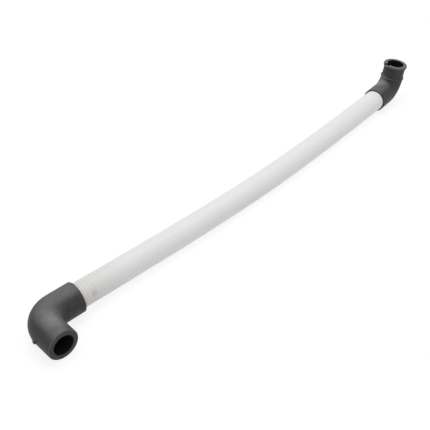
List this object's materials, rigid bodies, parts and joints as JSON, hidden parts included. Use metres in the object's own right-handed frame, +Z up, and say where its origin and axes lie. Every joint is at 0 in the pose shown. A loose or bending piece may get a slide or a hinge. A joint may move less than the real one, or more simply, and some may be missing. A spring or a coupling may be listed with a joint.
{
  "type": "washing machine sump hose",
  "caption": "Ribbed flexible drain hose with a moulded rubber elbow on each end, one with a plain mouth and one with a clamp collar.",
  "frame": {"origin": "on the surface that the hose lies on, under the middle of its bounding box", "axes": "+X along the tube from the plain elbow to the collared elbow, +Z up from the surface; the plain elbow opens along -Y"},
  "size_m": [0.5648, 0.0782, 0.0482],
  "materials": {
    "light_plastic": "satin, slightly translucent, finely ribbed",
    "dark_rubber": "moulded, matt"
  },
  "bodies": {
    "root": {"ribbed_tube": "light_plastic", "plain_elbow": "dark_rubber", "collared_elbow": "dark_rubber"}
  },
  "joints": []
}
